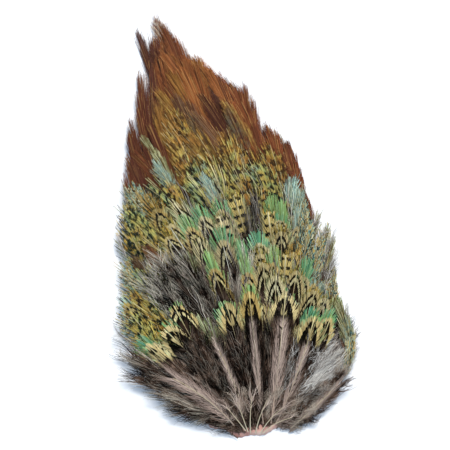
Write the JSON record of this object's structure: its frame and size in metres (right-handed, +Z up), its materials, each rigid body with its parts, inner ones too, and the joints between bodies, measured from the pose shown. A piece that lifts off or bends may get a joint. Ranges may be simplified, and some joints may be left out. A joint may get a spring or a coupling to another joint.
{
  "type": "pheasant rump patch",
  "caption": "Dried rump skin of a pheasant with its barred, downy and rusty feathers fanned out in overlapping rows, lying flat on its skin side.",
  "frame": {"origin": "on the underside of the skin, in the middle of its front margin, where the front quills meet", "axes": "+Y towards the tail end, where the long rusty feathers reach, +Z up out of the feathered side"},
  "size_m": [0.1008, 0.1675, 0.0124],
  "materials": {
    "skin": "dry, matt to satin",
    "downy_feather": "matt, fluffy",
    "barred_feather": "satin, iridescent green tips",
    "golden_feather": "satin",
    "rusty_feather": "silky"
  },
  "bodies": {
    "root": {"skin": "skin", "front_feather_1": "downy_feather", "front_feather_2": "downy_feather", "front_feather_3": "downy_feather", "front_feather_4": "downy_feather", "front_feather_5": "downy_feather", "front_feather_6": "downy_feather", "front_feather_7": "downy_feather", "front_feather_8": "downy_feather", "lower_feather_1": "downy_feather", "lower_feather_2": "downy_feather", "lower_feather_3": "downy_feather", "lower_feather_4": "downy_feather", "lower_feather_5": "downy_feather", "lower_feather_6": "downy_feather", "lower_feather_7": "downy_feather", "lower_feather_8": "downy_feather", "barred_feather_a_1": "barred_feather", "barred_feather_a_2": "barred_feather", "barred_feather_a_3": "barred_feather", "barred_feather_a_4": "barred_feather", "barred_feather_a_5": "barred_feather", "barred_feather_a_6": "barred_feather", "barred_feather_a_7": "barred_feather", "barred_feather_b_1": "barred_feather", "barred_feather_b_2": "barred_feather", "barred_feather_b_3": "barred_feather", "barred_feather_b_4": "barred_feather", "barred_feather_b_5": "barred_feather", "barred_feather_b_6": "barred_feather", "barred_feather_b_7": "barred_feather", "barred_feather_c_1": "barred_feather", "barred_feather_c_2": "barred_feather", "barred_feather_c_3": "barred_feather", "barred_feather_c_4": "barred_feather", "barred_feather_c_5": "barred_feather", "barred_feather_c_6": "barred_feather", "barred_feather_c_7": "barred_feather", "golden_feather_a_1": "golden_feather", "golden_feather_a_2": "golden_feather", "golden_feather_a_3": "golden_feather", "golden_feather_a_4": "golden_feather", "golden_feather_a_5": "golden_feather", "golden_feather_a_6": "golden_feather", "golden_feather_b_1": "golden_feather", "golden_feather_b_2": "golden_feather", "golden_feather_b_3": "golden_feather", "golden_feather_b_4": "golden_feather", "golden_feather_b_5": "golden_feather", "tail_covert_a_1": "rusty_feather", "tail_covert_a_2": "rusty_feather", "tail_covert_a_3": "rusty_feather", "tail_covert_a_4": "rusty_feather", "tail_covert_a_5": "rusty_feather", "tail_covert_b_1": "rusty_feather", "tail_covert_b_2": "rusty_feather", "tail_covert_b_3": "rusty_feather", "tail_covert_b_4": "rusty_feather", "tail_covert_b_5": "rusty_feather", "tail_covert_b_6": "rusty_feather"}
  },
  "joints": []
}
